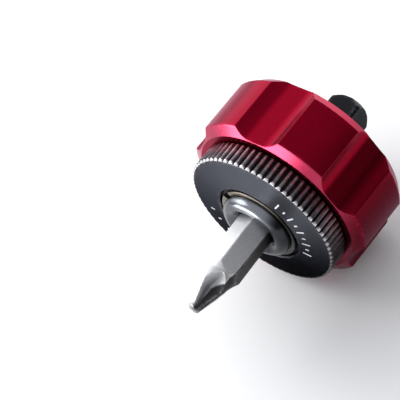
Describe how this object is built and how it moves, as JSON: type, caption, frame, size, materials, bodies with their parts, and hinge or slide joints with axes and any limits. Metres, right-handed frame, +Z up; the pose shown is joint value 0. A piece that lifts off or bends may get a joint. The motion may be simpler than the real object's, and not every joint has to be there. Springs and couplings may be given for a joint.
{
  "type": "palm ratchet screwdriver",
  "caption": "Short palm ratchet screwdriver with a fluted red grip, knurled reversing ring, hexagon bit socket with a double-ended bit, and a square drive behind.",
  "frame": {"origin": "middle of the bounding box, on the surface the tool lies on", "axes": "+Y along the tool's axis from the bit's tip to the square drive, +Z up from the surface, +X to the right seen from the bit's side"},
  "size_m": [0.0356, 0.0482, 0.0344],
  "materials": {
    "red_anodised": "red anodised, satin, turned and milled",
    "black_anodised": "black anodised, satin, knurled rim",
    "blackened_steel": "blackened, bright at the rounded lip",
    "tool_steel": "satin plated",
    "spring_steel": "bright drawn",
    "machined_steel": "machined, oiled",
    "bronze": "sintered, oiled",
    "magnet_nickel": "nickel plated"
  },
  "bodies": {
    "grip": {"grip_body": "red_anodised", "rear_bush": "bronze", "thrust_washer": "bronze", "cover_plate": "machined_steel", "cover_screw_1": "machined_steel", "cover_screw_2": "machined_steel", "cover_screw_3": "machined_steel", "cover_screw_4": "machined_steel", "pawl_pin_forward": "machined_steel", "pawl_pin_reverse": "machined_steel", "pawl_spring_forward": "spring_steel", "pawl_spring_reverse": "spring_steel", "detent_spring": "spring_steel"},
    "spindle": {"drive_spindle": "blackened_steel", "ratchet_gear": "machined_steel", "bit_magnet": "magnet_nickel", "front_snap_ring": "spring_steel", "rear_snap_ring": "spring_steel", "rear_washer": "machined_steel", "drive_ball_spring": "spring_steel"},
    "selector": {"selector_ring": "black_anodised", "cam_peg": "machined_steel"},
    "forward_pawl": {"pawl_forward": "machined_steel"},
    "reverse_pawl": {"pawl_reverse": "machined_steel"},
    "detent": {"detent_ball": "machined_steel"},
    "drive_detent": {"drive_ball": "machined_steel"},
    "bit": {"hex_bit": "tool_steel"}
  },
  "joints": [
    {"name": "spindle_turn", "type": "hinge", "parent": "grip", "child": "spindle", "pos_m": [0, 0, 0.01719], "axis": [0, -1, 0], "continuous": true},
    {"name": "selector_turn", "type": "hinge", "parent": "grip", "child": "selector", "pos_m": [0, 0, 0.01719], "axis": [0, -1, 0], "range_deg": [0, 30]},
    {"name": "pawl_forward_swing", "type": "hinge", "parent": "grip", "child": "forward_pawl", "pos_m": [-0.00882, 0.0076, 0.02408], "axis": [0, -1, 0], "range_deg": [0, 9.6], "deforming": ["pawl_spring_forward"]},
    {"name": "pawl_reverse_swing", "type": "hinge", "parent": "grip", "child": "reverse_pawl", "pos_m": [0.00882, 0.0076, 0.02408], "axis": [0, -1, 0], "range_deg": [0, 9.6], "deforming": ["pawl_spring_reverse"]},
    {"name": "detent_press", "type": "slide", "parent": "grip", "child": "detent", "axis": [0, 1, 0], "range_m": [0, 0.00025], "stiffness_N_per_m": 400, "springref_m": -0.001, "deforming": ["detent_spring"]},
    {"name": "drive_ball_press", "type": "slide", "parent": "spindle", "child": "drive_detent", "axis": [1, 0, 0], "range_m": [0, 0.00055], "stiffness_N_per_m": 1500, "springref_m": -0.001, "deforming": ["drive_ball_spring"]},
    {"name": "bit_pull", "type": "slide", "parent": "spindle", "child": "bit", "axis": [0, -1, 0], "range_m": [0, 0.0135]}
  ],
  "couplings": [
    {"joint": "pawl_forward_swing", "follows": "selector_turn", "ratio": 0.31667},
    {"joint": "pawl_reverse_swing", "follows": "selector_turn", "ratio": 0.31667}
  ]
}
